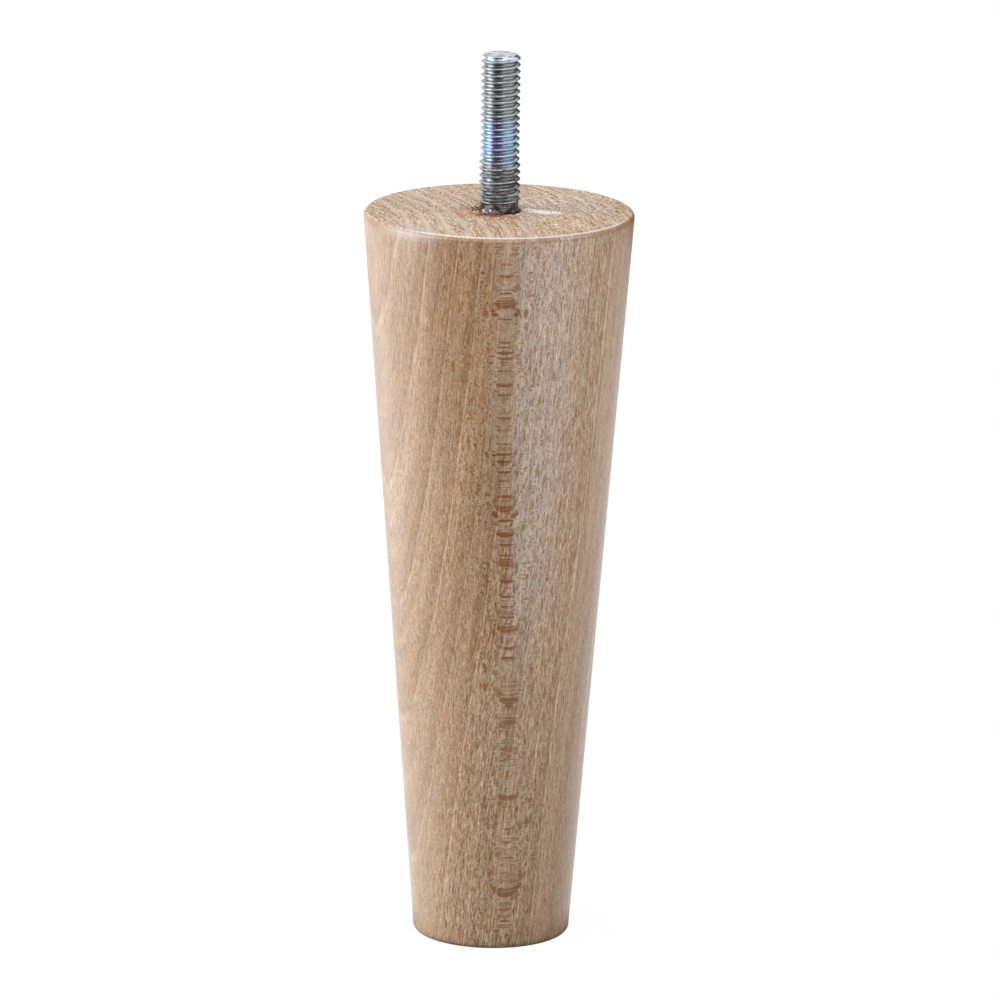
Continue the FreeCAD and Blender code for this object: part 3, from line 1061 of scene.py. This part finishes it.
def make_floor():
    """Narrow white table that runs out of the picture; past its edges the lamps show in the leg."""
    near = [(-TABLE_HALF_WIDTH, TABLE_FRONT, -TABLE_DROP), (TABLE_HALF_WIDTH, TABLE_FRONT, -TABLE_DROP)]
    far = [(TABLE_HALF_WIDTH, TABLE_BACK, -TABLE_DROP), (-TABLE_HALF_WIDTH, TABLE_BACK, -TABLE_DROP)]
    stage_sheet("floor", near + far, [(0, 1, 2, 3)], floor_material())


def card_material():
    """Black card."""
    material, tree, _ = new_material("black_card")
    shade = put(tree, "BsdfDiffuse", {"Color": (0.02, 0.02, 0.02, 1)}).outputs[0]
    tree.links.new(shade, tree.nodes["Material Output"].inputs["Surface"])
    return material


def upright_card(name, material, radius, start, end, low, high):
    """Curved black card round the leg, between two azimuths; the lacquer and the zinc mirror it."""
    turns = np.radians(np.linspace(start, end, 13))
    rim = [(radius * math.sin(t), -radius * math.cos(t)) for t in turns]
    points = [(x, y, low) for x, y in rim] + [(x, y, high) for x, y in rim]
    count = len(rim)
    faces = [(i, i + 1, count + i + 1, count + i) for i in range(count - 1)]
    stage_sheet(name, points, faces, material).visible_camera = False


def ceiling_card(material):
    """Black card over the leg, which the upper flanks of the stud's thread mirror."""
    corners = [(-0.18, 0.02), (0.10, 0.02), (0.10, 0.48), (-0.18, 0.48)]
    points = [(x, y, CEILING_HEIGHT) for x, y in corners]
    stage_sheet("ceiling_card", points, [(0, 1, 2, 3)], material).visible_camera = False


def make_cards():
    """Black cards that the leg mirrors and the camera does not see."""
    black = card_material()
    upright_card("front_card", black, 0.75, -62, 16, -0.70, 0.35)
    upright_card("back_card", black, 0.50, 105, 168, 0.01, 0.42)
    ceiling_card(black)


def make_world():
    """Even white room light."""
    world = bpy.data.worlds.new("white_room")
    world.use_nodes = True
    tree = world.node_tree
    dim = tree.nodes["Background"]
    dim.inputs["Color"].default_value = (1, 1, 1, 1)
    dim.inputs["Strength"].default_value = ROOM_LIGHT
    surface = white_when_seen(tree, dim.outputs[0], 1.0, 1.0)
    tree.links.new(surface, tree.nodes["World Output"].inputs["Surface"])
    bpy.context.scene.world = world


def softbox(name, azimuth, distance, height, sides, radiance, aim_height=0.08, colour=(1.0, 1.0, 1.0)):
    """Rectangular lamp round the leg; azimuth 0 is the camera's side and 90 the right."""
    turn = math.radians(azimuth)
    data = bpy.data.lights.new(name, "AREA")
    data.shape = "RECTANGLE"
    data.size, data.size_y = sides
    data.energy = radiance * math.pi * data.size * data.size_y
    data.color = colour
    lamp = bpy.data.objects.new(name, data)
    lamp.location = (distance * math.sin(turn), -distance * math.cos(turn), height)
    aim = Vector((0, 0, aim_height)) - lamp.location
    lamp.rotation_euler = aim.to_track_quat("-Z", "Y").to_euler()
    lamp.visible_camera = False
    bpy.context.collection.objects.link(lamp)


def make_lights():
    """Softboxes at both sides, above and below the table's edges, in front and overhead."""
    softbox("left_softbox", -80, 0.55, 0.25, (0.40, 0.64), 4.1, colour=COOL_WHITE)
    softbox("left_low_softbox", -120, 0.55, -0.15, (0.43, 0.26), 1.2, colour=COOL_WHITE)
    softbox("right_low_softbox", 47, 0.55, -0.15, (0.43, 0.26), 1.85)
    softbox("right_softbox", 75, 0.55, 0.42, (0.30, 0.36), 1.8)
    softbox("front_softbox", 8, 0.55, 0.48, (0.28, 0.36), 2.3)
    softbox("top_softbox", 0, 0.22, 0.85, (0.40, 0.40), 2.7, aim_height=0.12)


def make_camera():
    """Camera at the photograph's viewing angle."""
    data = bpy.data.cameras.new("camera")
    data.lens = CAMERA_LENS_MM
    camera = bpy.data.objects.new("camera", data)
    back = Vector((0, -math.cos(CAMERA_ELEVATION), math.sin(CAMERA_ELEVATION)))
    tilt = Matrix.Rotation(math.pi / 2 - CAMERA_ELEVATION, 4, "X")
    roll = Matrix.Rotation(CAMERA_ROLL, 4, "Z")
    camera.matrix_world = Matrix.Translation(CAMERA_AIM + back * CAMERA_DISTANCE) @ tilt @ roll
    bpy.context.collection.objects.link(camera)
    bpy.context.scene.camera = camera


make_leg().data.materials.append(beech_material())
make_bolt().data.materials.append(zinc_material())
hardened_glue = glue_group()
make_glue_streak().data.materials.append(
    glue_material("dried_white_glue", hardened_glue, STREAK_WHITE, STREAK_GREY, 0.3))
# the bead's patches are painted glints
make_glue_bead().data.materials.append(
    glue_material("clear_hard_glue", hardened_glue, BEAD_BROWN, BEAD_PAINTED_GLINT, 0.02))
make_torn_rim().data.materials.append(torn_material())
make_floor()
make_cards()
make_world()
make_lights()
make_camera()
bpy.context.scene.view_settings.view_transform = "Standard"
